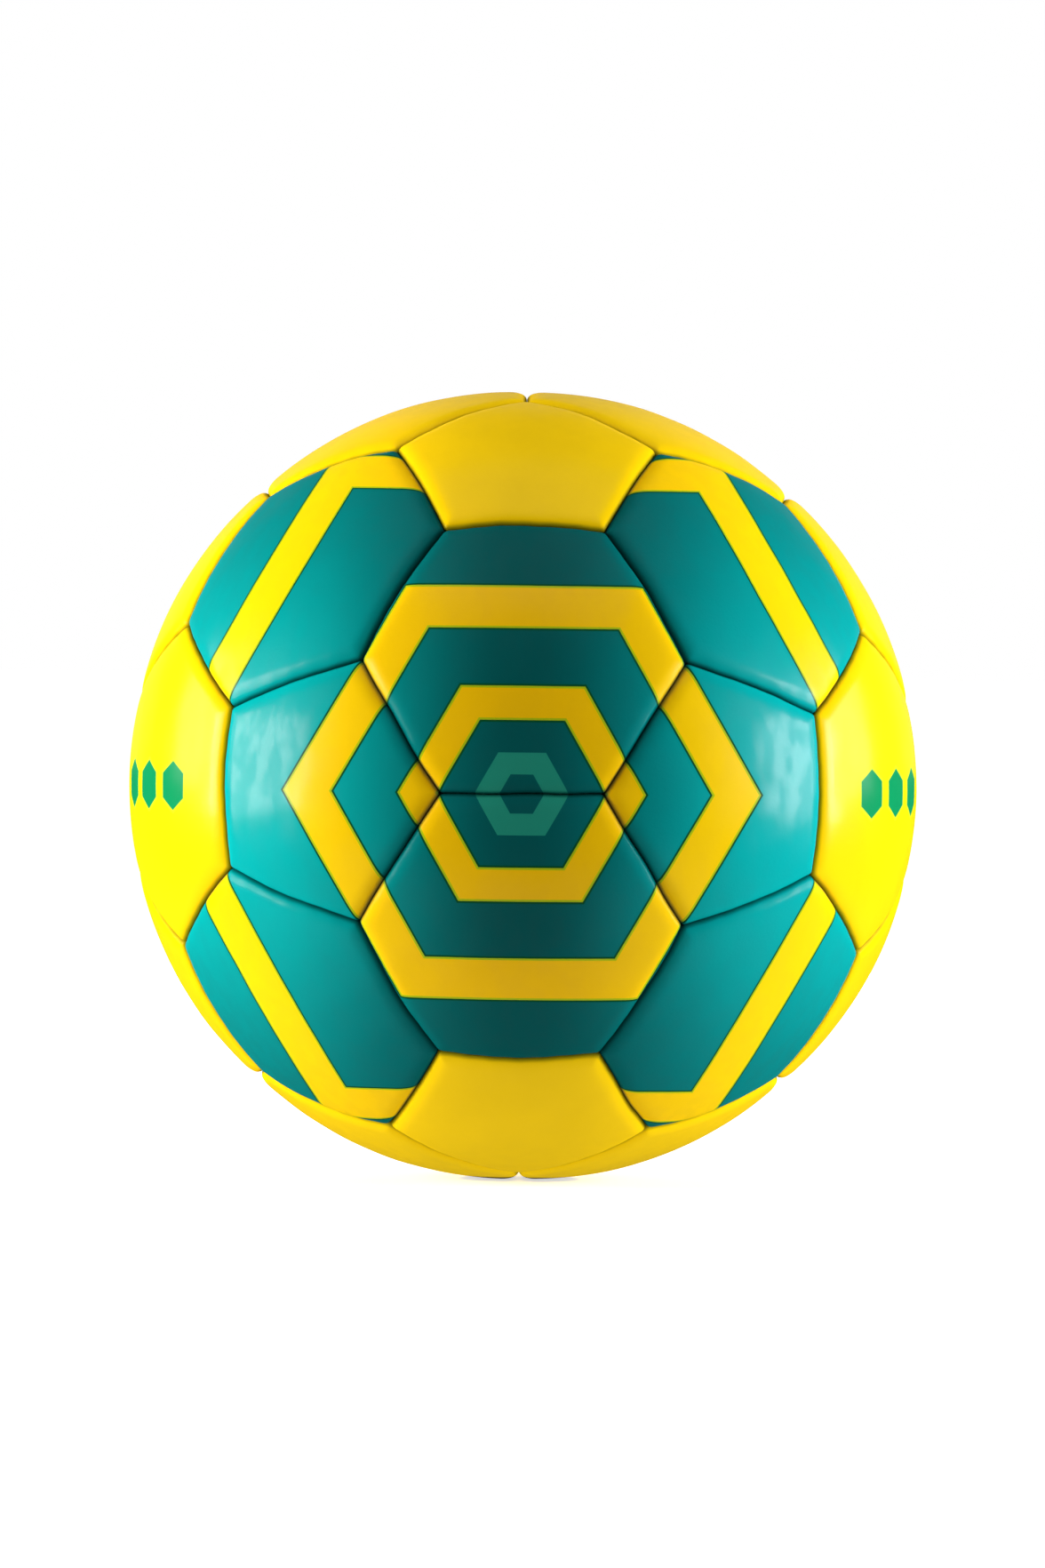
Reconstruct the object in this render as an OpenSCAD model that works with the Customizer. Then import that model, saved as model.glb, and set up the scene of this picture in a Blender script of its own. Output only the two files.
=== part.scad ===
// Stitched handball: twelve pentagon and twenty hexagon cover panels, each a leather skin with a
// turned-in hem over foam and lining cloth, sewn round a rubber bladder with a needle valve.
// The ball's centre is the origin. The middle seam of the front lies across -Y, level along X.

/* [Ball] */
// Circumference measured over the panel crowns
ball_circumference = 590; // [500:5:620]
// How far a hexagon's crown stands above the middle of its seams
crown_rise = 0.4; // [0:0.1:1]

/* [Cover panels] */
// Thickness of the synthetic leather skin
skin_t = 1.2; // [0.8:0.1:1.6]
// Thickness of the foam under the skin
foam_t = 2; // [1:0.25:3]
// Thickness of the cloth lining under the foam
lining_t = 0.9; // [0.5:0.1:1.5]
// Radius of the rounded rim where the skin turns in to the seam
rim_r = 2.8; // [2:0.1:3.6]
// How much the rim's radius differs from one side of a panel to the next, as the hems are turned by hand
rim_spread = 0.1; // [0.05:0.05:0.2]
// Number of steps that round the rim
rim_steps = 3; // [2:1:4]
// Film of glue between the layers of a panel
glue_t = 0.1; // [0.05:0.05:0.2]
// Gap between the hems of two neighbouring panels
seam_gap = 0.2; // [0.1:0.05:0.4]

/* [Stitching] */
// Thickness of the waxed thread
thread_d = 0.7; // [0.5:0.05:0.9]
// Stitches in each seam
stitches = 6; // [4:1:8]
// Share of a seam's length between its first and last stitch
stitched_share = 0.8; // [0.6:0.05:0.85]
// How thin the thread is pulled where it crosses the seam, as a share of its thickness
crossing_share = 0.75; // [0.6:0.05:0.75]
// Depth of the stitches below the panels' crowns
stitch_depth = 3.4; // [3.2:0.1:3.6]
// Clearance round the thread in its holes and along the hems
thread_clear = 0.1; // [0.05:0.05:0.2]

/* [Bladder] */
// Thickness of the rubber bladder's wall
bladder_t = 1.3; // [0.8:0.1:2]
// Gap between the lining and the bladder
bladder_gap = 0.2; // [0.1:0.1:0.4]

/* [Valve] */
// Diameter of the valve's boss, which shows in the hole of its panel
boss_d = 9; // [8:0.5:11]
// Depth of the boss's face below the panel's crown
boss_recess = 0.8; // [0.4:0.1:1.5]
// Clearance round the boss in the panel and bladder
boss_clear = 0.25; // [0.1:0.05:0.4]
// Diameter of the valve's flange inside the bladder
flange_d = 30; // [22:1:40]
// Thickness of the valve's flange
flange_t = 1.6; // [1:0.1:2.5]
// Length of the valve's stem below the flange
stem_l = 16; // [12:1:24]
// Diameter of the self-sealing core
core_d = 5; // [4:0.25:6]
// Diameter of the core's head
core_head_d = 6.8; // [6.5:0.1:7.5]
// Thickness of the core's head
core_head_t = 1.4; // [1:0.1:2]
// Fit clearance round the core
core_clear = 0.05; // [0.02:0.01:0.1]
// Diameter of the hole that guides the pump's needle
needle_d = 2.2; // [1.6:0.1:2.6]
// Depth of the hole that guides the pump's needle
needle_depth = 9; // [6:0.5:11]

/* [Hidden] */
$fn = 64;
golden = (1 + sqrt(5)) / 2;
ball_r = ball_circumference / (2 * PI);

// Axes of the panels, from the ball's centre outwards
TEAL_PENTAGONS = [for (x = [-1, 1], y = [-golden, golden]) [x, y, 0]];
YELLOW_PENTAGONS = concat(
    [for (x = [-golden, golden], z = [-1, 1]) [x, 0, z]],
    [for (y = [-1, 1], z = [-golden, golden]) [0, y, z]]
);
TEAL_HEXAGONS = concat(
    [for (y = [-golden, golden], z = [-1, 1]) [0, y, z / golden]],
    [for (x = [-1, 1], y = [-1, 1], z = [-1, 1]) [x, y, z]]
);
YELLOW_HEXAGONS = concat(
    [for (x = [-golden, golden], y = [-1, 1]) [x, y / golden, 0]],
    [for (x = [-1, 1], z = [-golden, golden]) [x / golden, 0, z]]
);
PENTAGONS = concat(TEAL_PENTAGONS, YELLOW_PENTAGONS);
HEXAGONS = concat(TEAL_HEXAGONS, YELLOW_HEXAGONS);
// The valve sits in the yellow pentagon at the top of the back
VALVE_AXIS = [0, 1, golden];

// Angle from a panel's axis to the middle of its seams, for panels whose seams are all of one length
hexagon_reach = acos(sqrt(5) / 3) / 2;
pentagon_reach = angle_between([0, 1, golden], [1, 1, 1]) - hexagon_reach;
// Half the angle that a seam spans, seen from the ball's centre
seam_half_angle = atan(tan(180 / 5) * sin(pentagon_reach));

// Radii of the layers, from the outside in
rim_level_r = ball_r - crown_rise;
cover_in_r = ball_r - skin_t - foam_t - lining_t - 2 * glue_t;
lining_top_r = cover_in_r + lining_t;
foam_in_r = lining_top_r + glue_t;
bladder_r = cover_in_r - bladder_gap;
bladder_in_r = bladder_r - bladder_t;
stitch_r = ball_r - stitch_depth;
// A crown's sphere is smaller than the ball, and its centre lies this far out along the panel's axis
crown_offset = crown_rise / (1 - cos(hexagon_reach));

// Distances from the plane of a seam into the panel
hem_face = seam_gap / 2;
hem_back = hem_face + skin_t;
thread_lane = hem_back + thread_clear + thread_d / 2;
layer_edge = hem_back + 2 * thread_clear + thread_d;
// Angle between one stitch and the next, and how far the thread runs on past the last one
stitch_step = 2 * seam_half_angle * stitched_share / (stitches - 1);
thread_tail = asin(thread_d / stitch_r);
thread_run = (stitches - 1) * stitch_step + 2 * thread_tail;

// Heights along the valve's axis
boss_top = ball_r - boss_recess;
flange_top_r = bladder_in_r - glue_t;
flange_mid = flange_top_r - flange_t / 2;
stem_d = boss_d + 2 * flange_t;
stem_end = flange_top_r - flange_t - stem_l;
core_end = stem_end - core_clear - core_head_t;

// A cut runs this far past the ball, or this far past a small piece
reach = 2 * ball_r;
overrun = glue_t;

function unit(v) = v / norm(v);
function angle_between(a, b) = acos(unit(a) * unit(b));
function neighbours(axis, axes) = [
    for (other = axes) let (gap = angle_between(axis, other))
    if (gap > hexagon_reach && gap < 2 * hexagon_reach + 1) other
];
function names(kind, axes) = [for (i = [1:len(axes)]) str(kind, i < 10 ? "_0" : "_", i)];

TEAL_PENTAGON_NAMES = names("teal_pentagon", TEAL_PENTAGONS);
YELLOW_PENTAGON_NAMES = names("yellow_pentagon", YELLOW_PENTAGONS);
TEAL_HEXAGON_NAMES = names("teal_hexagon", TEAL_HEXAGONS);
YELLOW_HEXAGON_NAMES = names("yellow_hexagon", YELLOW_HEXAGONS);

// Stands a shape that was made along +Z on a panel's axis, with +X towards another panel
module along(axis, towards) {
    z = unit(axis);
    x = unit(towards - (towards * z) * z);
    y = cross(z, x);
    multmatrix([for (i = [0:2]) [x[i], y[i], z[i], 0]]) children();
}

// Side 0 of every panel faces a hexagon
module on_panel(axis) {
    along(axis, neighbours(axis, HEXAGONS)[0]) children();
}

// The frame of one seam: X square to the plane of the seam, out of the panel, and Z through its middle
module at_seam(sides, panel_reach, side) {
    rotate([0, panel_reach, side * 360 / sides]) children();
}

// A finely faceted sphere laid on its side, so that its poles lie away from the panel
module laid_sphere(radius) {
    rotate([0, 90, 0]) sphere(r = radius, $fn = 240);
}

// A sphere that crosses a panel's surface along the seam, less steeply at each step, and so rounds its rim.
// Two sides that meet have different radii, so that no four faces meet in one point of a corner
module rim_sphere(inset, step, side) {
    slope = 90 * (rim_steps - step - 0.5) / rim_steps;
    turned_r = rim_r + rim_spread * (side % 3 - 1);
    start = hem_face + inset + (turned_r - inset) * (1 - tan(slope / 2));
    across = sqrt((rim_level_r - inset) ^ 2 - start ^ 2);
    translate([-start - across * tan(slope), 0, 0]) laid_sphere(across / cos(slope));
}

// A panel's wedge of a sphere, with a flat face beside each seam
module wedge(sides, panel_reach, edge, top_r, offset = 0) {
    difference() {
        translate([0, 0, offset]) laid_sphere(top_r);
        for (side = [0:sides - 1]) at_seam(sides, panel_reach, side)
            translate([-edge, -reach, -reach]) cube(2 * reach);
    }
}

// The wedge under a panel's crowned surface, with its rim rounded by one more sphere at each cut
module crowned_wedge(sides, panel_reach, inset, edge, cuts) {
    if (cuts == 0) wedge(sides, panel_reach, edge, ball_r - crown_offset - inset, crown_offset);
    else intersection() {
        crowned_wedge(sides, panel_reach, inset, edge, cuts - 1);
        at_seam(sides, panel_reach, cuts % sides)
            rim_sphere(inset, floor((cuts - 1) / sides), cuts % sides);
    }
}

// Children at each stitch of a seam, with their Z square to the seam's plane
module at_stitches() {
    for (i = [0:stitches - 1]) rotate([(i - (stitches - 1) / 2) * stitch_step, 0, 0])
        translate([0, 0, stitch_r]) rotate([0, 90, 0]) children();
}

// The hole for the valve's boss, on the axis of its panel
module boss_hole(axis) {
    if (axis == VALVE_AXIS) cylinder(d = boss_d + 2 * boss_clear, h = reach);
}

// The leather skin of a panel: its crowned face, its turned-in hem and the stitch holes through the hem
module skin(axis, sides, panel_reach) {
    on_panel(axis) difference() {
        crowned_wedge(sides, panel_reach, 0, hem_face, sides * rim_steps);
        crowned_wedge(sides, panel_reach, skin_t, hem_back, sides * rim_steps);
        laid_sphere(cover_in_r);
        for (side = [0:sides - 1]) at_seam(sides, panel_reach, side) at_stitches()
            cylinder(d = thread_d + 2 * thread_clear, h = 2 * thread_lane, center = true);
        boss_hole(axis);
    }
}

// The foam that fills the skin down to the lining and leaves a channel for the thread along each hem
module foam_pad(axis, sides, panel_reach) {
    on_panel(axis) difference() {
        crowned_wedge(sides, panel_reach, skin_t + glue_t, layer_edge, sides * rim_steps);
        laid_sphere(foam_in_r);
        boss_hole(axis);
    }
}

// The cloth lining glued to the back of the foam
module lining(axis, sides, panel_reach) {
    on_panel(axis) difference() {
        wedge(sides, panel_reach, layer_edge, lining_top_r);
        laid_sphere(cover_in_r);
        boss_hole(axis);
    }
}

// The thread of one seam, pressed flat: a run along the back of each hem, joined by the crossing stitches
module seam_thread() {
    crossing = thread_d * crossing_share;
    for (face = [-1, 1]) translate([face * thread_lane, 0, 0]) rotate([0, -90, 0])
        rotate([0, 0, -thread_run / 2]) rotate_extrude(angle = thread_run)
            translate([stitch_r, 0]) square(thread_d, center = true);
    at_stitches() cube([crossing, crossing, 2 * thread_lane], center = true);
}

module teal_pentagon(axis) {
    color("darkcyan") skin(axis, 5, pentagon_reach);
}

module yellow_pentagon(axis) {
    color("gold") skin(axis, 5, pentagon_reach);
}

module teal_hexagon(axis) {
    color("darkcyan") skin(axis, 6, hexagon_reach);
}

module yellow_hexagon(axis) {
    color("gold") skin(axis, 6, hexagon_reach);
}

module pentagon_foam_pads() {
    color("whitesmoke") for (axis = PENTAGONS) foam_pad(axis, 5, pentagon_reach);
}

module hexagon_foam_pads() {
    color("whitesmoke") for (axis = HEXAGONS) foam_pad(axis, 6, hexagon_reach);
}

module pentagon_linings() {
    color("linen") for (axis = PENTAGONS) lining(axis, 5, pentagon_reach);
}

module hexagon_linings() {
    color("linen") for (axis = HEXAGONS) lining(axis, 6, hexagon_reach);
}

// A pentagon is sewn to a hexagon on every side
module pentagon_seam_threads() {
    color("olive") for (axis = PENTAGONS, side = [0:4])
        on_panel(axis) at_seam(5, pentagon_reach, side) seam_thread();
}

// The seams between hexagons, each taken once, from the hexagon that comes first in the list
module hexagon_seam_threads() {
    color("olive") for (i = [0:len(HEXAGONS) - 1], other = neighbours(HEXAGONS[i], HEXAGONS))
        if (search([other], HEXAGONS)[0] > i)
            along(HEXAGONS[i], other) at_seam(6, hexagon_reach, 0) seam_thread();
}

// The rubber bladder that holds the air, with the hole that the valve is moulded into
module bladder() {
    color("black") along(VALVE_AXIS, [1, 0, 0]) difference() {
        laid_sphere(bladder_r);
        laid_sphere(bladder_in_r);
        boss_hole(VALVE_AXIS);
    }
}

// The valve's rubber housing: a boss through bladder and cover, a flange behind the bladder, and a stem
module valve_housing() {
    head_seat = boss_top - core_head_t - core_clear;
    color("dimgray") along(VALVE_AXIS, [1, 0, 0]) difference() {
        union() {
            intersection() {
                difference() {
                    laid_sphere(flange_top_r);
                    laid_sphere(flange_top_r - flange_t);
                }
                cylinder(d = flange_d, h = reach);
            }
            translate([0, 0, flange_mid]) cylinder(d = boss_d, h = boss_top - flange_mid);
            translate([0, 0, stem_end]) cylinder(d = stem_d, h = flange_mid - stem_end);
        }
        translate([0, 0, head_seat]) cylinder(d = core_head_d + 2 * core_clear, h = reach);
        translate([0, 0, stem_end - overrun]) cylinder(d = core_d + 2 * core_clear, h = reach);
    }
}

// The self-sealing core, held by its head in the boss and by a collar below the stem. The slit that goes on
// from the needle's guide hole is shut by the rubber, so it takes no room
module valve_core() {
    color("black") along(VALVE_AXIS, [1, 0, 0]) difference() {
        union() {
            translate([0, 0, core_end]) cylinder(d = core_d, h = boss_top - core_end);
            for (base = [core_end, boss_top - core_head_t]) translate([0, 0, base])
                cylinder(d = core_head_d, h = core_head_t);
        }
        translate([0, 0, boss_top - needle_depth]) cylinder(d = needle_d, h = reach);
    }
}

for (i = [0:len(TEAL_PENTAGONS) - 1])
    teal_pentagon(TEAL_PENTAGONS[i]);
for (i = [0:len(YELLOW_PENTAGONS) - 1])
    yellow_pentagon(YELLOW_PENTAGONS[i]);
for (i = [0:len(TEAL_HEXAGONS) - 1])
    teal_hexagon(TEAL_HEXAGONS[i]);
for (i = [0:len(YELLOW_HEXAGONS) - 1])
    yellow_hexagon(YELLOW_HEXAGONS[i]);
pentagon_foam_pads();
hexagon_foam_pads();
pentagon_linings();
hexagon_linings();
pentagon_seam_threads();
hexagon_seam_threads();
bladder();
valve_housing();
valve_core();
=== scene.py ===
import math

import bpy
import numpy as np
from mathutils import Matrix, Vector


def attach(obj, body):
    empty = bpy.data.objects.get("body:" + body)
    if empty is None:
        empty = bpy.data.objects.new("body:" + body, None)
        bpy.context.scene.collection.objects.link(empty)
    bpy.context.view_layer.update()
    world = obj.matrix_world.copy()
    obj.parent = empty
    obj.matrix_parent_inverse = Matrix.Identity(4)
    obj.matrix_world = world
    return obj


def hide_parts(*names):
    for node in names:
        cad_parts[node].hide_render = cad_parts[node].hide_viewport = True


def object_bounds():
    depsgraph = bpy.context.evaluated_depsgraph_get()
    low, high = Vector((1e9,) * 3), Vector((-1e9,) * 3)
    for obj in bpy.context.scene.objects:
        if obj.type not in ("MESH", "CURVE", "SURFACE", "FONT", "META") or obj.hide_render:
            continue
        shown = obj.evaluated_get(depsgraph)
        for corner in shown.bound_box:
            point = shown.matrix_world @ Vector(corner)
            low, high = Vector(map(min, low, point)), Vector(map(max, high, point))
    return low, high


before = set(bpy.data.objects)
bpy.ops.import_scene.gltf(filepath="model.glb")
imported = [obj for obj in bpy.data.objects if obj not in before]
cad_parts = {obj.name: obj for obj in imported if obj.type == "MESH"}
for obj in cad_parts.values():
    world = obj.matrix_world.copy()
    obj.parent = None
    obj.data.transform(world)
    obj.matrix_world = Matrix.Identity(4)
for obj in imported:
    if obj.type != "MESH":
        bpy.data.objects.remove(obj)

solid_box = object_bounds()


# Teal panels
# Sixteen of the cover's panels are teal synthetic leather, crowned by the air's pressure. Each has its
# edge turned in as a hem and is sewn inside out, so only a tight crease shows at a seam, drawn in at
# every stitch. A print of nested hexagons runs over their seams on the front and the back.
MM = 0.001
GOLDEN = (1 + 5 ** 0.5) / 2
BALL_ROUND = 590 * MM
CROWN_RISE = 0.4 * MM
SKIN_T = 1.2 * MM
FOAM_T = 2 * MM
LINING_T = 0.9 * MM
GLUE_T = 0.1 * MM
SEAM_GAP = 0.06 * MM
ROLL_WIDTH = 1.2 * MM
ROLL_DEPTH = 0.7 * MM
ROLL_FULLNESS = 0.56
SHOULDER_WIDTH = 4.5 * MM
SHOULDER_DROP = 1.0 * MM
SHOULDER_CURVE = 2.6
CORNER_DRAW = 0.25 * MM
STITCHES = 6
STITCHED_SHARE = 0.8
STITCH_PULL = 0.15 * MM
STITCH_SPREAD = 1.5 * MM
STITCH_OPENING = 0.03 * MM
SEAM_WANDER = 0.18 * MM
WANDER_LENGTHS = (11 * MM, 45 * MM)
LEATHER_SWELL = 0.05 * MM
SWELL_LENGTHS = (9 * MM, 30 * MM)
SWELL_MIDDLE = 1.5
VALVE_HOLE_D = 9.5 * MM
HOLE_ROUND = 0.5 * MM
HOLE_STEPS = [0.08, 0.3, 0.6, 1]
POINTS_A_SIDE = 48
CORNER_BUNCHING = 0.3
OUTLINE_HALVINGS = 18
CROWN_STEPS = 14
SHOULDER_STEPS = 6
ROLL_STEPS = 8
BACK_STEPS = 5
CREASE_ANGLE = math.radians(50)
RANDOM_SEED = 32

ball_r = BALL_ROUND / (2 * math.pi)
cover_in_r = ball_r - SKIN_T - FOAM_T - LINING_T - 2 * GLUE_T
hem_face = SEAM_GAP / 2
hem_back = hem_face + SKIN_T
hexagon_reach = math.acos(5 ** 0.5 / 3) / 2
widest_gap = 2 * hexagon_reach + math.radians(1)
crown_offset = CROWN_RISE / (1 - math.cos(hexagon_reach))
crown_r = ball_r - crown_offset
random = np.random.default_rng(RANDOM_SEED)


def unit(vector):
    return np.asarray(vector, float) / np.linalg.norm(vector)


def angle_between(one, other):
    return float(np.arccos(np.clip(unit(one) @ unit(other), -1, 1)))


def numbered(kind, axes):
    return {f"{kind}_{i:02d}": unit(axis) for i, axis in enumerate(axes, 1)}


TEAL_AXES = numbered("teal_pentagon", [(x, y, 0) for x in (-1, 1) for y in (-GOLDEN, GOLDEN)])
TEAL_AXES |= numbered(
    "teal_hexagon",
    [(0, y, z / GOLDEN) for y in (-GOLDEN, GOLDEN) for z in (-1, 1)]
    + [(x, y, z) for x in (-1, 1) for y in (-1, 1) for z in (-1, 1)],
)
YELLOW_AXES = numbered(
    "yellow_pentagon",
    [(x, 0, z) for x in (-GOLDEN, GOLDEN) for z in (-1, 1)]
    + [(0, y, z) for y in (-1, 1) for z in (-GOLDEN, GOLDEN)],
)
YELLOW_AXES |= numbered(
    "yellow_hexagon",
    [(x, y / GOLDEN, 0) for x in (-GOLDEN, GOLDEN) for y in (-1, 1)]
    + [(x / GOLDEN, 0, z) for x in (-1, 1) for z in (-GOLDEN, GOLDEN)],
)
AXES = TEAL_AXES | YELLOW_AXES
VALVE_PANEL = "yellow_pentagon_08"
pentagon_reach = angle_between((0, 1, GOLDEN), (1, 1, 1)) - hexagon_reach
seam_half_angle = math.atan(math.tan(math.pi / 5) * math.sin(pentagon_reach))
stitch_pitch = 2 * ball_r * seam_half_angle * STITCHED_SHARE / (STITCHES - 1)


def random_waves(count, shortest, longest):
    """Sine waves of random direction, length and phase, which add up to a smooth uneven field."""
    ways = random.normal(size=(count, 3))
    ways /= np.linalg.norm(ways, axis=1)[:, None]
    lengths = random.uniform(shortest, longest, count)
    return (ways * (2 * math.pi / lengths)[:, None]).T, random.uniform(0, 2 * math.pi, count)


def field(waves, points):
    """The sum of the waves at the points, mostly between -1 and 1."""
    return np.sin(points @ waves[0] + waves[1]).sum(axis=-1) / len(waves[1]) ** 0.5


wander_waves = random_waves(8, *WANDER_LENGTHS)
swell_waves = random_waves(16, *SWELL_LENGTHS)


class Panel:
    """The place of one panel on the ball: its axis and the planes of its seams."""

    def __init__(self, name):
        self.axis = AXES[name]
        # The axes of its neighbours are the nearest ones but its own
        gaps = [(other, angle_between(self.axis, other)) for other in AXES.values()]
        near = [other for other, gap in gaps if hexagon_reach < gap < widest_gap]
        self.sides = len(near)
        self.reach = pentagon_reach if self.sides == 5 else hexagon_reach
        ways = [unit(other - (other @ self.axis) * self.axis) for other in near]
        self.x, self.y = ways[0], np.cross(self.axis, ways[0])
        # Each seam's plane faces out of the panel, and the seam runs along it
        lean, rise = math.cos(self.reach), math.sin(self.reach)
        self.faces = np.array([lean * way - rise * self.axis for way in ways])
        self.runs = np.cross(self.faces, self.axis)
        self.runs /= np.linalg.norm(self.runs, axis=1)[:, None]
        # A seam that wanders takes from one panel what it gives the other
        self.gives = np.array([1.0 if tuple(self.axis) > tuple(other) else -1.0 for other in near])
        self.hole_r = VALVE_HOLE_D / 2 if name == VALVE_PANEL else 0.0

        # Azimuths of a ring's points, closer together towards the corners
        share = np.linspace(-1, 1, POINTS_A_SIDE, endpoint=False)
        bunched = share * (1 + CORNER_BUNCHING - CORNER_BUNCHING * share ** 2)
        within = np.arctan(math.tan(math.pi / self.sides) * bunched)
        turns = np.arange(self.sides) * 2 * math.pi / self.sides
        azimuths = (turns[:, None] + within[None, :]).ravel()
        self.ways = np.cos(azimuths)[:, None] * self.x + np.sin(azimuths)[:, None] * self.y

    def directions(self, tilts):
        return np.sin(tilts)[..., None] * self.ways + np.cos(tilts)[..., None] * self.axis

    def between_stitches(self, points):
        """1 midway between the stitches of each seam, and -1 at them."""
        return np.cos(2 * math.pi / stitch_pitch * (points @ self.runs.T))

    def seam_distances(self, points):
        """Distance of each point into the panel from each of its seams."""
        wander = SEAM_WANDER * field(wander_waves, points)
        opening = STITCH_OPENING * (0.5 + 0.5 * self.between_stitches(points))
        return -points @ self.faces.T + wander[..., None] * self.gives - opening

    def seam_distance(self, points):
        """Distance of each point into the panel from its outline, whose corners are drawn in."""
        away = self.seam_distances(points)
        return -CORNER_DRAW * np.log(np.exp(-away / CORNER_DRAW).sum(axis=-1))

    def stitch_pull(self, points):
        """1 at the stitches of the nearest seam, and 0 midway between them."""
        away = self.seam_distances(points)
        nearness = np.exp(-(away - away.min(axis=-1)[..., None]) / MM)
        at_stitch = 0.5 - 0.5 * self.between_stitches(points)
        return (nearness * at_stitch).sum(axis=-1) / nearness.sum(axis=-1)

    def crown(self, directions):
        """Radius of the crowned surface in each direction."""
        along = directions @ self.axis
        return crown_offset * along + np.sqrt(crown_r ** 2 - crown_offset ** 2 * (1 - along ** 2))

    def layer_radius(self, directions, inset):
        """Radius of a layer at an inset below the leather's face, which slopes gently to the seams."""
        radius = self.crown(directions)
        points = directions * radius[..., None]
        sloped = np.clip(1 - self.seam_distance(points) / SHOULDER_WIDTH, 0, 1) ** SHOULDER_CURVE
        swell = LEATHER_SWELL * (field(swell_waves, points) - SWELL_MIDDLE)
        return radius - inset - SHOULDER_DROP * sloped + swell

    def face_radius(self, directions):
        """Radius of the leather's face, whose rims roll over into the seam and the valve's hole."""
        points = directions * self.crown(directions)[..., None]
        away = self.seam_distance(points)
        short = np.clip(1 - (away - hem_face) / ROLL_WIDTH, 0, 1)
        lowered = ROLL_DEPTH * (1 - (1 - short ** 2) ** ROLL_FULLNESS)
        spread = np.exp(-np.maximum(away, 0) / STITCH_SPREAD)
        lowered = lowered + STITCH_PULL * self.stitch_pull(points) * spread
        if self.hole_r:
            from_hole = np.linalg.norm(np.cross(points, self.axis), axis=-1) - self.hole_r
            short = np.clip(1 - from_hole / HOLE_ROUND, 0, 1)
            lowered = lowered + HOLE_ROUND * (1 - np.sqrt(1 - short ** 2))
        return self.layer_radius(directions, 0) - lowered

    def outline(self, aways):
        """Tilts for each azimuth at which the ball lies at each of these distances from the outline."""
        low = np.zeros((len(aways), len(self.ways)))
        high = np.full_like(low, 2 * self.reach)
        for _ in range(OUTLINE_HALVINGS):
            middle = (low + high) / 2
            reached = self.seam_distance(ball_r * self.directions(middle))
            beyond = reached < np.reshape(aways, (-1, 1))
            low, high = np.where(beyond, low, middle), np.where(beyond, middle, high)
        return low

    def surface(self, aways, crown_steps, radius_in):
        """Rings from the panel's middle outwards, the last ones at these distances from its edge."""
        rim_tilts = self.outline(aways)
        start = math.asin(self.hole_r / ball_r)
        shares = np.linspace(0, 1, crown_steps, endpoint=False)[0 if self.hole_r else 1:]
        tilts = [start + share * (rim_tilts[0] - start) for share in shares]
        if self.hole_r and crown_steps == CROWN_STEPS:
            level = start + 0 * rim_tilts[0]
            tilts[1:1] = [level + share * HOLE_ROUND / ball_r for share in HOLE_STEPS]
        rings = self.directions(np.vstack([*tilts, rim_tilts]))
        return list(rings * radius_in(rings)[..., None])

    def middle(self, radius_in):
        """The point in the middle of a surface, or none where the panel has the valve's hole."""
        return None if self.hole_r else (radius_in(self.axis[None]) * self.axis)

    def leather(self):
        """Rings and the two middles of the panel's skin."""
        def inside(directions):
            return self.layer_radius(directions, SKIN_T)

        roll = np.sin(np.linspace(0, math.pi / 2, ROLL_STEPS + 1))
        shoulder = np.linspace(SHOULDER_WIDTH, hem_face + ROLL_WIDTH, SHOULDER_STEPS, endpoint=False)
        rim = np.append(shoulder, hem_face + ROLL_WIDTH * (1 - roll))
        over = self.surface(rim, CROWN_STEPS, self.face_radius)
        hem = list(cover_in_r * self.directions(self.outline([hem_face, hem_back])))
        under = self.surface(np.linspace(SHOULDER_WIDTH, hem_back, BACK_STEPS), BACK_STEPS, inside)
        return over + hem + under[::-1], self.middle(self.face_radius), self.middle(inside)


def shell_mesh(name, shells):
    """A mesh of closed shells, each of rings of points from the middle of its face to its back."""
    points, faces = [], []
    for rings, top, bottom in shells:
        first, across = len(points), len(rings[0])
        points += [tuple(point) for ring in rings for point in ring]
        around = [(i, (i + 1) % across) for i in range(across)]
        pairs = [(k * across, (k + 1) * across) for k in range(len(rings) - 1)]
        last = (len(rings) - 1) * across
        if top is None:
            pairs.append((last, 0))
        else:
            top_at, bottom_at = len(points), len(points) + 1
            points += [tuple(top), tuple(bottom)]
            faces += [(top_at, first + i, first + j) for i, j in around]
            faces += [(first + last + i, bottom_at, first + last + j) for i, j in around]
        for inner, outer in pairs:
            faces += [
                (first + inner + i, first + outer + i, first + outer + j, first + inner + j)
                for i, j in around
            ]
    mesh = bpy.data.meshes.new(name)
    mesh.from_pydata(points, [], faces)
    mesh.polygons.foreach_set("use_smooth", [True] * len(mesh.polygons))
    mesh.set_sharp_from_angle(angle=CREASE_ANGLE)
    return mesh


def piece(mesh, material, slot, *nodes):
    """Shows a mesh in place of its solids, on the ball's one body."""
    obj = bpy.data.objects.new(mesh.name, mesh)
    bpy.context.scene.collection.objects.link(obj)
    mesh.materials.append(material)
    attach(obj, "root")
    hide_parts(*nodes)
    return obj


def wire(tree, kind, inputs=None, **settings):
    """Adds a node with its settings, and feeds its inputs with sockets or plain values."""
    made = tree.nodes.new(kind)
    for name, value in settings.items():
        setattr(made, name, value)
    for key, value in (inputs or {}).items():
        if isinstance(value, bpy.types.NodeSocket):
            tree.links.new(value, made.inputs[key])
        else:
            made.inputs[key].default_value = value
    return made


def sums(tree, operation, *values):
    return wire(tree, "ShaderNodeMath", dict(enumerate(values)), operation=operation).outputs[0]


def vectors(tree, operation, *values):
    return wire(tree, "ShaderNodeVectorMath", dict(enumerate(values)), operation=operation).outputs


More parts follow.
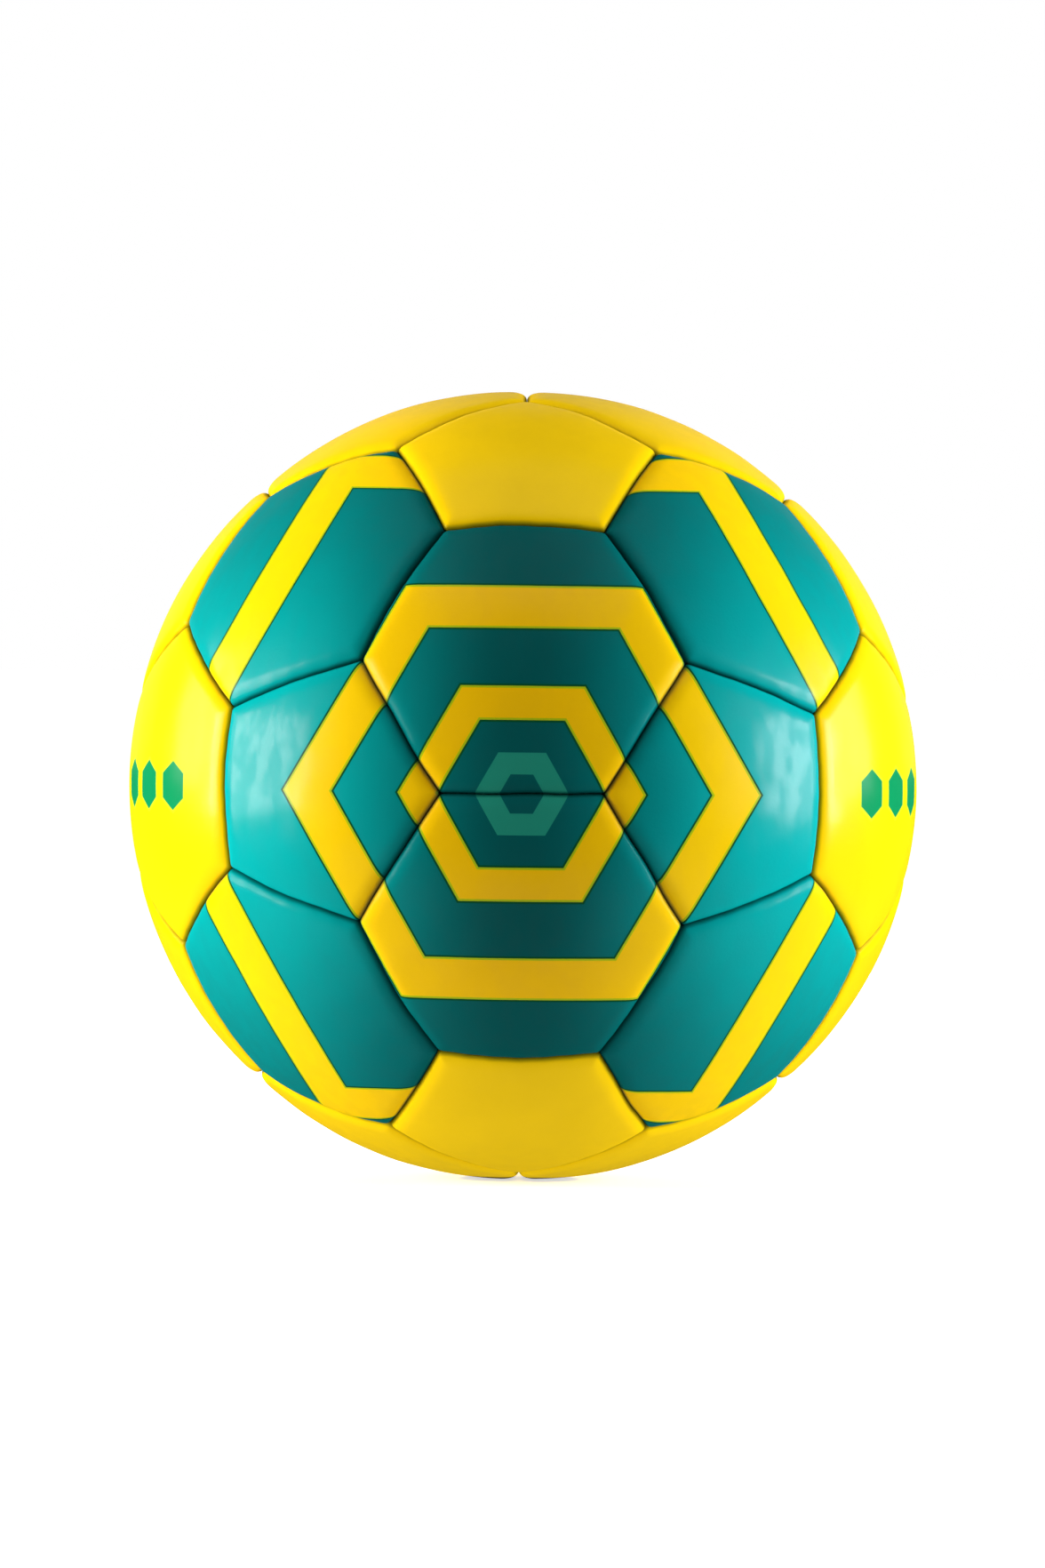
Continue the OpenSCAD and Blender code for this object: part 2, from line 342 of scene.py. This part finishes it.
def noise(tree, spot, scale, detail):
    inputs = {"Vector": spot, "Scale": scale, "Detail": detail}
    return wire(tree, "ShaderNodeTexNoise", inputs).outputs[0]


def ramped(tree, value, start, end, low=0.0, high=1.0):
    """The value's rise from start to end, as a smooth step from low to high."""
    inputs = {0: value, 1: start, 2: end, 3: low, 4: high}
    return wire(tree, "ShaderNodeMapRange", inputs, interpolation_type="SMOOTHSTEP").outputs[0]


def tinted(tree, share, under, over):
    """The under colour, with the over colour laid on it by its share."""
    return wire(tree, "ShaderNodeMix", {0: share, 6: under, 7: over}, data_type="RGBA").outputs[2]


def place(tree):
    return wire(tree, "ShaderNodeTexCoord").outputs["Object"]


def way_from_middle(tree):
    """The direction of each point from the middle of the ball."""
    return vectors(tree, "NORMALIZE", place(tree))[0]


def finish_group(name, inputs, outputs):
    """An empty node group with named sockets, its input sockets by name, and its output node."""
    tree = bpy.data.node_groups.new(name, "ShaderNodeTree")
    for in_out, sockets in (("INPUT", inputs), ("OUTPUT", outputs)):
        for label, value in sockets.items():
            parts = 1 if isinstance(value, float) else len(value)
            kind = {1: "NodeSocketFloat", 3: "NodeSocketVector", 4: "NodeSocketColor"}[parts]
            socket = tree.interface.new_socket(name=label, in_out=in_out, socket_type=kind)
            socket.default_value = value
    given = tree.nodes.new("NodeGroupInput").outputs
    return tree, {label: given[label] for label in inputs}, tree.nodes.new("NodeGroupOutput")


CREEP_SCALE = 420.0
CLOUD_SCALE = 45.0
STREAK_SCALE = 260.0
SHADED_CREASE_WIDTH = 1.0 * MM
WORN_WIDTH = 4 * MM


def grain_and_crease_shade_group():
    """Leather grain: pebbles, uneven gloss, a streaky coat, and a duller rim at the seams, whose
    creases are darkened with painted shade.
    """
    tree, given, out = finish_group(
        "leather grain and crease shade",
        {
            "Ground": (0.5, 0.5, 0.5, 1),
            "Painted crease shade": (0.2, 0.2, 0.2, 1),
            "Pebble size": 1.0,
            "Gloss": 0.35,
            "Thin coat": 0.3,
            "Full coat": 0.5,
        },
        {"Colour": (0.5, 0.5, 0.5, 1), "Roughness": 0.35, "Coat": 1.0, "Height": 0.0},
    )
    spot = place(tree)
    per_size = sums(tree, "DIVIDE", 1.0, given["Pebble size"])
    pebbles = wire(
        tree, "ShaderNodeTexVoronoi", {"Vector": spot, "Scale": per_size}, feature="SMOOTH_F1"
    ).outputs["Distance"]
    creep = noise(tree, spot, CREEP_SCALE, 3.0)
    cloud = noise(tree, spot, CLOUD_SCALE, 2.0)
    from_seam = wire(tree, "ShaderNodeAttribute", attribute_name="from_seam").outputs["Fac"]
    # Painted shade: the colour darkens towards each seam's crease, where shade falls; the rim there is
    # also duller
    crease = ramped(tree, from_seam, 0.0, SHADED_CREASE_WIDTH, 0.8, 0.0)
    # The coat is streaky from handling, and worn off at the rims
    drawn = vectors(tree, "MULTIPLY", spot, (1.0, 1.0, 0.5))[0]
    streaks = noise(tree, drawn, STREAK_SCALE, 6.0)
    streaked = ramped(tree, streaks, 0.4, 0.6, given["Thin coat"], given["Full coat"])
    worn = ramped(tree, from_seam, 0.0, WORN_WIDTH, 0.1, 1.0)
    tree.links.new(sums(tree, "MULTIPLY", streaked, worn), out.inputs["Coat"])

    mottled = sums(tree, "MULTIPLY_ADD", cloud, 0.12, 0.94)
    mix = {0: 1.0, 6: given["Ground"], 7: mottled}
    toned = wire(tree, "ShaderNodeMix", mix, data_type="RGBA", blend_type="MULTIPLY").outputs[2]
    tree.links.new(tinted(tree, crease, toned, given["Painted crease shade"]), out.inputs["Colour"])
    dull = sums(tree, "MULTIPLY_ADD", crease, 0.25, given["Gloss"])
    uneven = sums(tree, "MULTIPLY_ADD", creep, 0.1, sums(tree, "SUBTRACT", dull, 0.05))
    tree.links.new(uneven, out.inputs["Roughness"])
    height = sums(tree, "MULTIPLY_ADD", pebbles, 0.5, sums(tree, "MULTIPLY", creep, 0.8))
    tree.links.new(height, out.inputs["Height"])
    return tree


def print_group():
    """Print of nested, flat-topped hexagons on the ball's front and back, in outlined bands, with
    painted shade darker along the middle between the sides.
    """
    tree, given, out = finish_group(
        "nested hexagon print with painted shade",
        {
            "Shaded ink": (0.0, 0.1, 0.1, 1),
            "Bright ink": (0.0, 0.3, 0.3, 1),
            "Shaded band": (0.9, 0.5, 0.0, 1),
            "Band": (0.9, 0.6, 0.0, 1),
            "Band outline": (0.4, 0.5, 0.0, 1),
            "Ink outline": (0.0, 0.1, 0.05, 1),
            "Emblem": (0.0, 0.2, 0.15, 1),
        },
        {"Colour": (0.0, 0.3, 0.3, 1)},
    )
    bands = [(17 * MM, 25 * MM), (39 * MM, 50 * MM), (79 * MM, 92 * MM)]
    emblem = (4.5 * MM, 9.5 * MM)
    outline = 0.5 * MM
    soft = 0.08 * MM
    way = way_from_middle(tree)
    across = None
    for angle in (30, 90, 150):
        flat = (math.cos(math.radians(angle)), 0, math.sin(math.radians(angle)))
        size = sums(tree, "ABSOLUTE", vectors(tree, "DOT_PRODUCT", way, flat)["Value"])
        across = size if across is None else sums(tree, "MAXIMUM", across, size)
    distance = sums(tree, "MULTIPLY", sums(tree, "ARCSINE", across), ball_r)

    def outside_of(low, high):
        """Distance outside the band from low to high, and less than zero within it."""
        from_middle = sums(tree, "ABSOLUTE", sums(tree, "SUBTRACT", distance, (low + high) / 2))
        return sums(tree, "SUBTRACT", from_middle, (high - low) / 2)

    nearest = outside_of(*bands[0])
    for band in bands[1:]:
        nearest = sums(tree, "MINIMUM", nearest, outside_of(*band))
    # Painted light and shade: the inks are darker in the middle and lighter towards the sides, as the
    # side lamps light them, the teal less so towards top and bottom
    parts = wire(tree, "ShaderNodeSeparateXYZ", {0: way}).outputs
    side_lit_share = ramped(tree, sums(tree, "ABSOLUTE", parts["X"]), 0.02, 0.62)
    lit_by_height = ramped(tree, sums(tree, "ABSOLUTE", parts["Z"]), 0.1, 0.85, 1.0, 0.3)
    lit_share = sums(tree, "MULTIPLY", side_lit_share, lit_by_height)
    ink = tinted(tree, lit_share, given["Shaded ink"], given["Bright ink"])
    pale = ramped(tree, outside_of(*emblem), soft, -soft, 0.0, 0.8)
    colour = tinted(tree, pale, ink, given["Emblem"])
    band = tinted(tree, side_lit_share, given["Shaded band"], given["Band"])
    layers_of_ink = [(outline, given["Ink outline"]), (0.0, given["Band outline"]), (-outline, band)]
    for edge, laid in layers_of_ink:
        colour = tinted(tree, ramped(tree, nearest, edge + soft, edge - soft), colour, laid)
    tree.links.new(colour, out.inputs["Colour"])
    return tree


grain_and_crease_shade = grain_and_crease_shade_group()
PEBBLE_SIZE = 0.6 * MM
GRAIN_DEPTH = 0.03 * MM
LEATHER_GLOSS = 0.36
FULL_COAT = 0.5
COAT_GLOSS = 0.19
YELLOW = (0.95, 0.61, 0.002, 1)


def leather(name, ground, crease_shade_colour, thin_coat):
    """Synthetic leather with a semi-gloss coat over its grain, on the coloured ground, with painted
    shade in the seams' creases.
    """
    material = bpy.data.materials.new(name)
    material.use_nodes = True
    tree = material.node_tree
    finish = tree.nodes["Principled BSDF"]
    inputs = {
        "Ground": ground(tree),
        "Painted crease shade": crease_shade_colour,
        "Pebble size": PEBBLE_SIZE,
        "Gloss": LEATHER_GLOSS,
        "Thin coat": thin_coat,
        "Full coat": FULL_COAT,
    }
    grain = wire(tree, "ShaderNodeGroup", inputs, node_tree=grain_and_crease_shade)
    bump = wire(tree, "ShaderNodeBump", {"Height": grain.outputs["Height"], "Distance": GRAIN_DEPTH})
    tree.links.new(grain.outputs["Colour"], finish.inputs["Base Color"])
    tree.links.new(grain.outputs["Roughness"], finish.inputs["Roughness"])
    tree.links.new(grain.outputs["Coat"], finish.inputs["Coat Weight"])
    tree.links.new(bump.outputs[0], finish.inputs["Normal"])
    finish.inputs["Specular IOR Level"].default_value = 0.0
    finish.inputs["Coat Roughness"].default_value = COAT_GLOSS
    return material


def teal_ground(tree):
    # The shaded ink and band are painted shade for the middle of the front and back, which the side
    # lamps light less
    colours = {
        "Shaded ink": (0.001, 0.09, 0.089, 1),
        "Bright ink": (0.001, 0.39, 0.38, 1),
        "Shaded band": (0.93, 0.53, 0.002, 1),
        "Band": YELLOW,
        "Band outline": (0.42, 0.52, 0.006, 1),
        "Ink outline": (0.001, 0.075, 0.02, 1),
        "Emblem": (0.02, 0.3, 0.2, 1),
    }
    return wire(tree, "ShaderNodeGroup", colours, node_tree=print_group()).outputs["Colour"]


# Painted shade colour for the teal panels' seam creases
TEAL_CREASE_SHADE = (0.0, 0.04, 0.035, 1)
teal_leather = leather("teal leather", teal_ground, TEAL_CREASE_SHADE, thin_coat=0.25)


def sew(name, material, slot):
    """Makes one panel's skin, and stores each point's distance from the seams for its finish."""
    panel = Panel(name)
    mesh = shell_mesh(f"{name}_skin", [panel.leather()])
    points = np.empty(3 * len(mesh.vertices), np.float32)
    mesh.vertices.foreach_get("co", points)
    away = panel.seam_distance(points.reshape(-1, 3).astype(float))
    from_seam = mesh.attributes.new("from_seam", "FLOAT", "POINT")
    from_seam.data.foreach_set("value", np.clip(away, 0, SHOULDER_WIDTH).astype(np.float32))
    piece(mesh, material, slot, name)


for name in TEAL_AXES:
    sew(name, teal_leather, "teal_skin")


# Yellow panels
# The other sixteen are yellow leather of the same make. The four at the ball's sides carry a short row
# of small plain hexagons in green ink. The pentagon at the top of the back has the valve's hole.


def row_group():
    """A level row of small green hexagons with a pale outline, on each of the four side panels."""
    tree, given, out = finish_group(
        "hexagon row print",
        {"Ground": YELLOW, "Mark": (0.0, 0.3, 0.1, 1), "Mark outline": (0.6, 0.7, 0.0, 1)},
        {"Colour": YELLOW},
    )
    mark_half = 5 * MM
    mark_pitch = 14 * MM
    outline = 0.7 * MM
    soft = 0.06 * MM
    axis = unit((GOLDEN, 1 / GOLDEN, 0))
    level = (-axis[1], axis[0], 0)
    # The four panels are folded onto one
    folded = vectors(tree, "ABSOLUTE", way_from_middle(tree))[0]
    along = sums(tree, "MULTIPLY", vectors(tree, "DOT_PRODUCT", folded, level)["Value"], ball_r)
    height = wire(tree, "ShaderNodeSeparateXYZ", {0: folded}).outputs["Z"]
    up = sums(tree, "MULTIPLY", height, ball_r)
    # Distance along from the middle of the nearest of the three marks
    stepped = sums(tree, "ROUND", sums(tree, "DIVIDE", along, mark_pitch))
    counted = sums(tree, "MAXIMUM", sums(tree, "MINIMUM", stepped, 1.0), -1.0)
    nearest = sums(tree, "MULTIPLY", counted, mark_pitch)
    across = sums(tree, "ABSOLUTE", sums(tree, "SUBTRACT", along, nearest))
    slant = sums(tree, "MULTIPLY_ADD", up, math.cos(math.pi / 6), sums(tree, "MULTIPLY", across, 0.5))
    outside = sums(tree, "SUBTRACT", sums(tree, "MAXIMUM", across, slant), mark_half)
    colour = given["Ground"]
    for edge, laid in ((outline, given["Mark outline"]), (0.0, given["Mark"])):
        colour = tinted(tree, ramped(tree, outside, edge + soft, edge - soft), colour, laid)
    tree.links.new(colour, out.inputs["Colour"])
    return tree


def yellow_ground(tree):
    colours = {"Ground": YELLOW, "Mark": (0.003, 0.26, 0.09, 1), "Mark outline": (0.62, 0.72, 0.01, 1)}
    return wire(tree, "ShaderNodeGroup", colours, node_tree=row_group()).outputs["Colour"]


# Painted shade colour for the yellow panels' seam creases
YELLOW_CREASE_SHADE = (0.11, 0.13, 0.005, 1)
yellow_leather = leather("yellow leather", yellow_ground, YELLOW_CREASE_SHADE, thin_coat=0.42)

for name in YELLOW_AXES:
    sew(name, yellow_leather, "yellow_skin")


# Foam pads
# Closed-cell foam fills each skin down to the lining and gives the ball its soft hand. It is cut to the
# panel's shape, glued in, and leaves a channel along each hem for the thread.
THREAD_D = 0.7 * MM
THREAD_CLEAR = 0.1 * MM
layer_edge = hem_back + 2 * THREAD_CLEAR + THREAD_D
foam_in_r = cover_in_r + LINING_T + GLUE_T


def dusted(name, colour, scale, depth, roughness, sheen=0.0):
    """A dull material whose cells or threads show as a fine relief and an uneven tone."""
    material = bpy.data.materials.new(name)
    material.use_nodes = True
    tree = material.node_tree
    finish = tree.nodes["Principled BSDF"]
    spot = place(tree)
    cells = wire(tree, "ShaderNodeTexVoronoi", {"Vector": spot, "Scale": scale}).outputs["Distance"]
    mottle = noise(tree, spot, scale / 8, 3.0)
    dark = tuple(part * 0.7 for part in colour[:3]) + (1,)
    tone = sums(tree, "MULTIPLY", cells, mottle)
    tree.links.new(tinted(tree, tone, colour, dark), finish.inputs["Base Color"])
    dull = sums(tree, "MULTIPLY_ADD", mottle, 0.2, roughness - 0.1)
    tree.links.new(dull, finish.inputs["Roughness"])
    bump = wire(tree, "ShaderNodeBump", {"Height": cells, "Distance": depth})
    tree.links.new(bump.outputs[0], finish.inputs["Normal"])
    finish.inputs["Sheen Weight"].default_value = sheen
    return material


def layers(name, axes, make):
    """One mesh for like layers of all the panels named."""
    return shell_mesh(name, [make(Panel(panel)) for panel in axes])


def ball_radius(radius):
    return lambda directions: np.full(directions.shape[:-1], radius)


def foam_pad(panel):
    def top(directions):
        return panel.layer_radius(directions, SKIN_T + GLUE_T)

    bottom = ball_radius(foam_in_r)
    over = panel.surface(np.linspace(SHOULDER_WIDTH, layer_edge, BACK_STEPS), BACK_STEPS, top)
    under = panel.surface([layer_edge], BACK_STEPS, bottom)
    return over + under[::-1], panel.middle(top), panel.middle(bottom)


foam = dusted("white foam", (0.86, 0.86, 0.83, 1), 1800.0, 0.05 * MM, 0.85)
for sides in ("pentagon", "hexagon"):
    named = [name for name in AXES if sides in name]
    pads = piece(layers(f"{sides}_foam", named, foam_pad), foam, "foam", f"{sides}_foam_pads")


# Cloth linings
# Layers of cotton and polyester cloth are glued together behind the foam, and keep each panel from
# stretching. They are cut to the foam's outline.


def lining(panel):
    top, bottom = ball_radius(foam_in_r - GLUE_T), ball_radius(cover_in_r)
    over = panel.surface([layer_edge], BACK_STEPS, top)
    under = panel.surface([layer_edge], BACK_STEPS, bottom)
    return over + under[::-1], panel.middle(top), panel.middle(bottom)


cloth = dusted("lining cloth", (0.88, 0.84, 0.74, 1), 2500.0, 0.08 * MM, 0.9, 0.3)
for sides in ("pentagon", "hexagon"):
    named = [name for name in AXES if sides in name]
    piece(layers(f"{sides}_lining", named, lining), cloth, "lining_cloth", f"{sides}_linings")


# Bladder
# A hollow ball of moulded rubber holds the air and presses the cover out from inside. It has one round
# hole, which the valve is moulded into.
BLADDER_GAP = 0.2 * MM
BLADDER_T = 1.3 * MM
BLADDER_RINGS = 48
BLADDER_POINTS = 96
bladder_r = cover_in_r - BLADDER_GAP
bladder_in_r = bladder_r - BLADDER_T


def bladder_wall():
    """Rings over the outside, from opposite the valve to its hole, and back over the inside."""
    valve = Panel(VALVE_PANEL)
    turns = np.arange(BLADDER_POINTS) * 2 * math.pi / BLADDER_POINTS
    ways = np.cos(turns)[:, None] * valve.x - np.sin(turns)[:, None] * valve.y
    sides = []
    for radius in (bladder_r, bladder_in_r):
        hole = math.asin(valve.hole_r / radius)
        tilts = np.linspace(0, math.pi - hole, BLADDER_RINGS)[1:]
        sides.append([radius * (math.sin(tilt) * ways - math.cos(tilt) * valve.axis) for tilt in tilts])
    outside, inside = sides
    return outside + inside[::-1], -bladder_r * valve.axis, -bladder_in_r * valve.axis


bladder_rubber = dusted("bladder rubber", (0.03, 0.03, 0.03, 1), 700.0, 0.03 * MM, 0.6)
piece(shell_mesh("rubber_bladder", [bladder_wall()]), bladder_rubber, "bladder_rubber", "bladder")


# Thread and valve
# Waxed polyester thread sews the hems together. The valve's rubber housing has a boss that fills the
# hole in the panel and the bladder, and a self-sealing core with the needle's hole is pressed into it.
# Their solids are shown as they are, in finishes of their own.


def dress(name, material):
    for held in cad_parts[name].material_slots:
        held.material = material


waxed_thread = dusted("waxed thread", (0.2, 0.22, 0.1, 1), 2200.0, 0.05 * MM, 0.5)
valve_rubber = dusted("valve rubber", (0.06, 0.06, 0.06, 1), 1500.0, 0.02 * MM, 0.45)
dress("pentagon_seam_threads", waxed_thread)
dress("hexagon_seam_threads", waxed_thread)
dress("valve_housing", valve_rubber)
dress("valve_core", valve_rubber)


# Studio
# The ball rests on a plain white floor, lit from beneath like a light table, in a dim white surround.
# Soft lamps stand above and behind it. At each side stand a large softbox, a bright window and, further
# back, a reflector. Only the windows and the reflectors show in the leather's gloss.
FLOOR_SIZE = 24.0
SURROUND_GLOW = 0.03
GLOSS_GLOW = 0.06
TINTS = {-1: (1.0, 1.0, 0.97), 0: (1.0, 1.0, 1.0), 1: (0.97, 1.0, 1.03)}
SOFTBOX_POWER = {-1: 9.5, 1: 8.4}
# How far forward each window stands, its width and its power
WINDOWS = {-1: (-0.18, 0.46, 4.8), 1: (-0.104, 0.36, 4.3)}
SIDE_AWAY = 0.8
REFLECTOR_POWER = 0.56
TOP_POWER = 6.0
BACK_POWER = 7.0
TABLE_POWER = 0.66
LENS = 226.8
CAMERA_AWAY = 25 * ball_r
# How the camera goes round the ball, and the pixel that the ball's middle falls on
BALL_TURN = Vector((0.021, 0.012, -0.003))
IMAGE_W, IMAGE_H = 1176, 1764
BALL_PIXEL = (588.5, 883.7)

scene = bpy.context.scene
half = FLOOR_SIZE / 2
floor_mesh = bpy.data.meshes.new("floor")
floor_z = solid_box[0].z
corners = [(x, y, floor_z) for x, y in ((-half, -half), (half, -half), (half, half), (-half, half))]
floor_mesh.from_pydata(corners, [], [(0, 1, 2, 3)])
floor = bpy.data.objects.new("floor", floor_mesh)
scene.collection.objects.link(floor)
paper = bpy.data.materials.new("white paper")
paper.use_nodes = True
paper_nodes = paper.node_tree
sheet = paper_nodes.nodes["Principled BSDF"]
sheet.inputs["Base Color"].default_value = (0.9, 0.9, 0.9, 1)
sheet.inputs["Roughness"].default_value = 0.9
sheet.inputs["Specular IOR Level"].default_value = 0.0
sheet.inputs["Emission Color"].default_value = (1, 1, 1, 1)
# The paper is white as far as it goes, and dim to all but the camera
away = vectors(paper_nodes, "LENGTH", place(paper_nodes))["Value"]
glow = ramped(paper_nodes, away, 0.2, 0.8, 0.6, 1.05)
paper_nodes.links.new(glow, sheet.inputs["Emission Strength"])
dim = wire(paper_nodes, "ShaderNodeEmission", {"Strength": SURROUND_GLOW}).outputs[0]
seen = wire(paper_nodes, "ShaderNodeLightPath").outputs["Is Camera Ray"]
shown = wire(paper_nodes, "ShaderNodeMixShader", {0: seen, 1: dim, 2: sheet.outputs[0]}).outputs[0]
paper_nodes.links.new(shown, paper_nodes.nodes["Material Output"].inputs["Surface"])
floor_mesh.materials.append(paper)


def lamp(name, way, away, size, power, tint, mirrored=False):
    """A soft lamp that faces the ball, and shows in its gloss only where it is mirrored."""
    light = bpy.data.lights.new(name, "AREA")
    light.shape = "RECTANGLE"
    light.size, light.size_y = size
    light.energy = power
    light.color = tint
    made = bpy.data.objects.new(name, light)
    made.location = Vector(way).normalized() * away
    made.rotation_mode = "QUATERNION"
    made.rotation_quaternion = Vector(way).to_track_quat("Z", "Y")
    made.visible_camera = False
    made.visible_glossy = mirrored
    scene.collection.objects.link(made)


for side in (-1, 1):
    forward, width, power = WINDOWS[side]
    tint = TINTS[side]
    lamp("softbox", (side * 0.995, -0.09, 0), SIDE_AWAY, (0.75, 0.75), SOFTBOX_POWER[side], tint)
    lamp("window", (side * 0.991, forward, 0.087), SIDE_AWAY, (width, 0.35), power, tint, mirrored=True)
    back = (side * 0.95, 0.3, 0.18)
    lamp("reflector", back, SIDE_AWAY, (0.22, 0.3), REFLECTOR_POWER, tint, mirrored=True)
lamp("top lamp", (0, -0.2, 1), 1.0, (1.0, 1.0), TOP_POWER, TINTS[0])
lamp("back lamp", (0, 1, 0.25), 1.2, (1.0, 1.0), BACK_POWER, TINTS[0])
lamp("table lamp", (0, 0, -1), -floor_z - 0.001, (0.5, 0.5), TABLE_POWER, TINTS[0])

surround = bpy.data.worlds.new("surround")
surround.use_nodes = True
sky = surround.node_tree
way = wire(sky, "ShaderNodeTexCoord").outputs["Generated"]
behind = wire(sky, "ShaderNodeSeparateXYZ", {0: way}).outputs["Y"]
mirrored = ramped(sky, behind, 0.7, 1.0, GLOSS_GLOW, 0.3)
ray = wire(sky, "ShaderNodeLightPath").outputs
lit = wire(sky, "ShaderNodeMix", {0: ray["Is Glossy Ray"], 2: SURROUND_GLOW, 3: mirrored}).outputs[0]
lit = sums(sky, "MAXIMUM", lit, ray["Is Camera Ray"])
sky.links.new(lit, sky.nodes["Background"].inputs["Strength"])
sky.nodes["Background"].inputs["Color"].default_value = (1, 1, 1, 1)
scene.world = surround

camera = bpy.data.objects.new("camera", bpy.data.cameras.new("camera"))
camera.data.lens = LENS
camera.data.shift_x = -(BALL_PIXEL[0] - IMAGE_W / 2) / IMAGE_H
camera.data.shift_y = (BALL_PIXEL[1] - IMAGE_H / 2) / IMAGE_H
turned = Matrix.Rotation(-BALL_TURN.length, 4, BALL_TURN.normalized())
level_view = Matrix.Rotation(math.pi / 2, 4, "X")
camera.matrix_world = turned @ Matrix.Translation((0, -CAMERA_AWAY, 0)) @ level_view
scene.collection.objects.link(camera)
scene.camera = camera
scene.view_settings.view_transform = "Standard"
